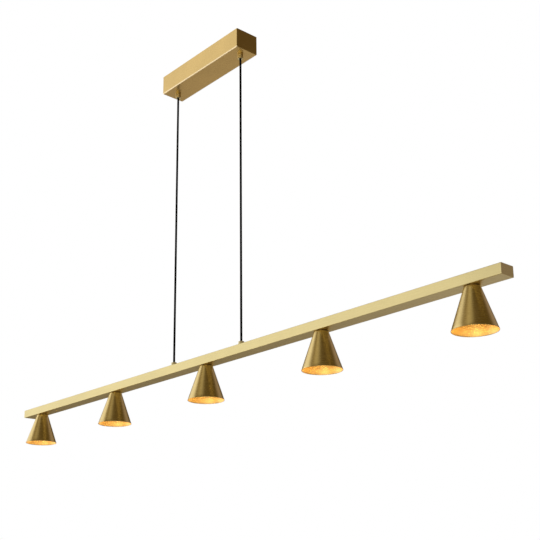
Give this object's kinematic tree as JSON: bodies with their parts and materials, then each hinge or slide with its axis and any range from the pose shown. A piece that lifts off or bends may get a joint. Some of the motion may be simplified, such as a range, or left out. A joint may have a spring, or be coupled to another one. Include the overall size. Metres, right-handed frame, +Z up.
{
  "type": "linear island pendant",
  "caption": "Long brass bar pendant with downward conical shades, hung by two black cables from a rectangular box canopy.",
  "frame": {"origin": "on the ceiling plane, at the middle of the ceiling bracket's slot pattern", "axes": "+Z up into the ceiling, +X along the bar, +Y to the back"},
  "size_m": [1.6, 0.081, 0.8452],
  "materials": {
    "satin_brass": "satin",
    "dark_bronze": "satin",
    "black_braid": "matte",
    "zinc_steel": "satin",
    "white_ceramic": "matte",
    "frosted_dome": "satin",
    "natural_polyamide": "satin",
    "nickel_plate": "gloss",
    "brown_core": "satin",
    "blue_core": "satin",
    "green_yellow_core": "satin"
  },
  "bodies": {
    "canopy": {"ceiling_bracket": "zinc_steel", "canopy_cover": "satin_brass", "canopy_grip_left": "satin_brass", "canopy_grip_right": "satin_brass", "canopy_grip_washers": "zinc_steel", "canopy_grip_nuts": "zinc_steel", "canopy_grip_screws": "zinc_steel", "terminal_block": "natural_polyamide", "terminal_clamp_screws": "nickel_plate", "terminal_fixing_screws": "nickel_plate", "earth_screw": "nickel_plate", "earth_tag": "nickel_plate", "canopy_cable_tail_left": "black_braid", "canopy_cable_tail_right": "black_braid", "canopy_live_core": "brown_core", "canopy_neutral_core": "blue_core", "canopy_earth_core": "green_yellow_core", "earth_link_wire": "green_yellow_core"},
    "cables": {"cable_left": "black_braid", "cable_right": "black_braid"},
    "bar": {"bar_tube": "satin_brass", "bar_end_cap_left": "satin_brass", "bar_end_cap_right": "satin_brass", "bar_grip_left": "satin_brass", "bar_grip_right": "satin_brass", "bar_grip_screws": "zinc_steel", "bar_nuts": "zinc_steel", "bar_cable_end_left": "black_braid", "bar_cable_end_right": "black_braid", "bar_live_wire": "brown_core", "bar_neutral_wire": "blue_core", "bar_earth_tag": "nickel_plate", "bar_earth_wire": "green_yellow_core", "nipples": "zinc_steel", "lampholder_leads": "natural_polyamide", "neck_1": "dark_bronze", "neck_2": "dark_bronze", "neck_3": "dark_bronze", "neck_4": "dark_bronze", "neck_5": "dark_bronze", "shade_1": "satin_brass", "shade_2": "satin_brass", "shade_3": "satin_brass", "shade_4": "satin_brass", "shade_5": "satin_brass", "lampholder_1": "white_ceramic", "lampholder_2": "white_ceramic", "lampholder_3": "white_ceramic", "lampholder_4": "white_ceramic", "lampholder_5": "white_ceramic"},
    "lamp_1": {"lamp_base_1": "white_ceramic", "lamp_dome_1": "frosted_dome"},
    "lamp_2": {"lamp_base_2": "white_ceramic", "lamp_dome_2": "frosted_dome"},
    "lamp_3": {"lamp_base_3": "white_ceramic", "lamp_dome_3": "frosted_dome"},
    "lamp_4": {"lamp_base_4": "white_ceramic", "lamp_dome_4": "frosted_dome"},
    "lamp_5": {"lamp_base_5": "white_ceramic", "lamp_dome_5": "frosted_dome"}
  },
  "joints": [
    {"name": "swing", "type": "hinge", "parent": "canopy", "child": "cables", "pos_m": [0, 0, -0.058], "axis": [1, 0, 0], "range_deg": [-15, 15]},
    {"name": "height_adjust", "type": "slide", "parent": "cables", "child": "bar", "axis": [0, 0, 1], "range_m": [0, 0.4], "deforming": ["cable_left", "cable_right"]},
    {"name": "lamp_1_pull", "type": "slide", "parent": "bar", "child": "lamp_1", "axis": [0, 0, -1], "range_m": [0, 0.07]},
    {"name": "lamp_2_pull", "type": "slide", "parent": "bar", "child": "lamp_2", "axis": [0, 0, -1], "range_m": [0, 0.07]},
    {"name": "lamp_3_pull", "type": "slide", "parent": "bar", "child": "lamp_3", "axis": [0, 0, -1], "range_m": [0, 0.07]},
    {"name": "lamp_4_pull", "type": "slide", "parent": "bar", "child": "lamp_4", "axis": [0, 0, -1], "range_m": [0, 0.07]},
    {"name": "lamp_5_pull", "type": "slide", "parent": "bar", "child": "lamp_5", "axis": [0, 0, -1], "range_m": [0, 0.07]}
  ]
}
